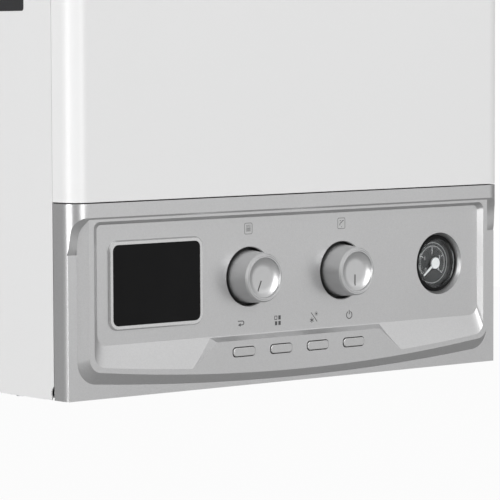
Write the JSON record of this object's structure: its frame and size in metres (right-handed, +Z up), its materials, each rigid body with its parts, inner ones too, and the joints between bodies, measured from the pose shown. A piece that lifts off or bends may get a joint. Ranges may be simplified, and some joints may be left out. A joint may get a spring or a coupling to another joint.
{
  "type": "combi boiler",
  "caption": "Wall-hung combi boiler with a white pull-off cover, a silver swing-down control panel with knobs, buttons, display and gauge, and its gas, water and flue parts.",
  "frame": {"origin": "on the wall plane, midway between the two hanging slots", "axes": "+Z up, +Y into the wall, the front faces -Y, +X to the right seen from the front"},
  "size_m": [0.4, 0.3117, 0.781],
  "materials": {
    "white_enamel": "fine white powder coat, satin gloss",
    "silver_plastic": "silver metallic paint on moulded plastic, satin",
    "knob_silver": "silver satin, brushed round the skirt",
    "button_silver": "silver satin",
    "black_glass": "black gloss window",
    "black_plastic": "black moulded plastic",
    "dial_grey": "dark grey printed dial",
    "needle_white": "white paint",
    "clear_glass": "clear",
    "zinc_steel": "zinc-coated sheet steel",
    "stainless": "stainless steel",
    "copper": "copper tube",
    "brass": "machined brass",
    "rubber_black": "soft black rubber",
    "board_green": "lacquered circuit board",
    "grey_plastic": "grey glass-filled plastic",
    "light_plastic": "light grey moulded plastic",
    "red_plastic": "red moulded plastic",
    "blue_plastic": "blue moulded plastic",
    "cast_aluminium": "die-cast aluminium",
    "vessel_red": "red enamelled steel",
    "white_plastic": "white flue plastic"
  },
  "bodies": {
    "casing": {"left_side_panel": "white_enamel", "right_side_panel": "white_enamel", "back_frame": "zinc_steel", "top_panel": "white_enamel", "bottom_plate": "white_enamel", "front_rail": "zinc_steel", "casing_seals": "rubber_black", "cover_clips": "zinc_steel", "hinge_brackets": "zinc_steel", "flow_block": "grey_plastic", "return_block": "grey_plastic", "diverter_motor": "black_plastic", "safety_valve": "brass", "filling_tap": "brass", "plate_heat_exchanger": "stainless", "pump_body": "light_plastic", "pump_motor": "black_plastic", "expansion_vessel": "vessel_red", "exchanger_shell": "stainless", "exchanger_coil": "stainless", "burner_door": "cast_aluminium", "burner": "stainless", "fan_housing": "cast_aluminium", "fan_motor": "black_plastic", "mixture_duct": "cast_aluminium", "air_intake": "black_plastic", "gas_valve": "cast_aluminium", "condensate_trap": "light_plastic", "flue_duct": "white_plastic", "flue_adapter": "white_plastic", "connection_stubs": "brass", "cable_gland": "black_plastic", "copper_pipes": "copper", "flexible_hoses": "rubber_black", "screws": "zinc_steel"},
    "cover": {"front_cover": "white_enamel", "cover_studs": "zinc_steel"},
    "panel": {"control_fascia": "silver_plastic", "display_bezel": "silver_plastic", "display_window": "black_glass", "control_board": "board_green", "gauge_body": "black_plastic", "gauge_dial": "dial_grey", "gauge_glass": "clear_glass", "panel_housing": "grey_plastic", "housing_lid": "grey_plastic", "main_board": "board_green"},
    "heating_knob": {"heating_knob": "knob_silver"},
    "water_knob": {"water_knob": "knob_silver"},
    "back_button": {"back_button": "button_silver"},
    "menu_button": {"menu_button": "button_silver"},
    "season_button": {"season_button": "button_silver"},
    "power_button": {"power_button": "button_silver"},
    "needle": {"gauge_needle": "needle_white"},
    "impeller": {"fan_impeller": "black_plastic"},
    "pump_rotor": {"pump_rotor": "black_plastic"},
    "diverter_stem": {"diverter_stem": "brass"},
    "safety_cap": {"safety_cap": "red_plastic"},
    "filling_handle": {"filling_handle": "blue_plastic"}
  },
  "joints": [
    {"name": "cover_pull", "type": "slide", "parent": "casing", "child": "cover", "axis": [0, -1, 0], "range_m": [0, 0.25]},
    {"name": "panel_swing", "type": "hinge", "parent": "casing", "child": "panel", "pos_m": [0, -0.2795, -0.6355], "axis": [1, 0, 0], "range_deg": [0, 90]},
    {"name": "heating_knob_turn", "type": "hinge", "parent": "panel", "child": "heating_knob", "pos_m": [-0.0424, -0.2948, -0.5636], "axis": [0, 1, 0], "continuous": true},
    {"name": "water_knob_turn", "type": "hinge", "parent": "panel", "child": "water_knob", "pos_m": [0.0446, -0.2948, -0.5636], "axis": [0, 1, 0], "continuous": true},
    {"name": "back_button_press", "type": "slide", "parent": "panel", "child": "back_button", "axis": [0, 1, 0], "range_m": [0, 0.001], "stiffness_N_per_m": 400, "springref_m": -0.0005},
    {"name": "menu_button_press", "type": "slide", "parent": "panel", "child": "menu_button", "axis": [0, 1, 0], "range_m": [0, 0.001], "stiffness_N_per_m": 400, "springref_m": -0.0005},
    {"name": "season_button_press", "type": "slide", "parent": "panel", "child": "season_button", "axis": [0, 1, 0], "range_m": [0, 0.001], "stiffness_N_per_m": 400, "springref_m": -0.0005},
    {"name": "power_button_press", "type": "slide", "parent": "panel", "child": "power_button", "axis": [0, 1, 0], "range_m": [0, 0.001], "stiffness_N_per_m": 400, "springref_m": -0.0005},
    {"name": "needle_sweep", "type": "hinge", "parent": "panel", "child": "needle", "pos_m": [0.1407, -0.287, -0.5636], "axis": [0, 1, 0], "range_deg": [0, 256], "stiffness_Nm_per_rad": 0.0005},
    {"name": "fan_spin", "type": "hinge", "parent": "casing", "child": "impeller", "pos_m": [0.125, -0.24, -0.194], "axis": [0, 1, 0], "continuous": true},
    {"name": "pump_spin", "type": "hinge", "parent": "casing", "child": "pump_rotor", "pos_m": [0.112, -0.13, -0.49], "axis": [0, 1, 0], "continuous": true},
    {"name": "diverter_stroke", "type": "slide", "parent": "casing", "child": "diverter_stem", "axis": [0, 0, -1], "range_m": [0, 0.008]},
    {"name": "safety_cap_turn", "type": "hinge", "parent": "casing", "child": "safety_cap", "pos_m": [-0.1, -0.13, -0.585], "axis": [0, 1, 0], "range_deg": [0, 90]},
    {"name": "filling_handle_turn", "type": "hinge", "parent": "casing", "child": "filling_handle", "pos_m": [0.085, -0.125, -0.585], "axis": [0, 1, 0], "range_deg": [0, 90]}
  ]
}
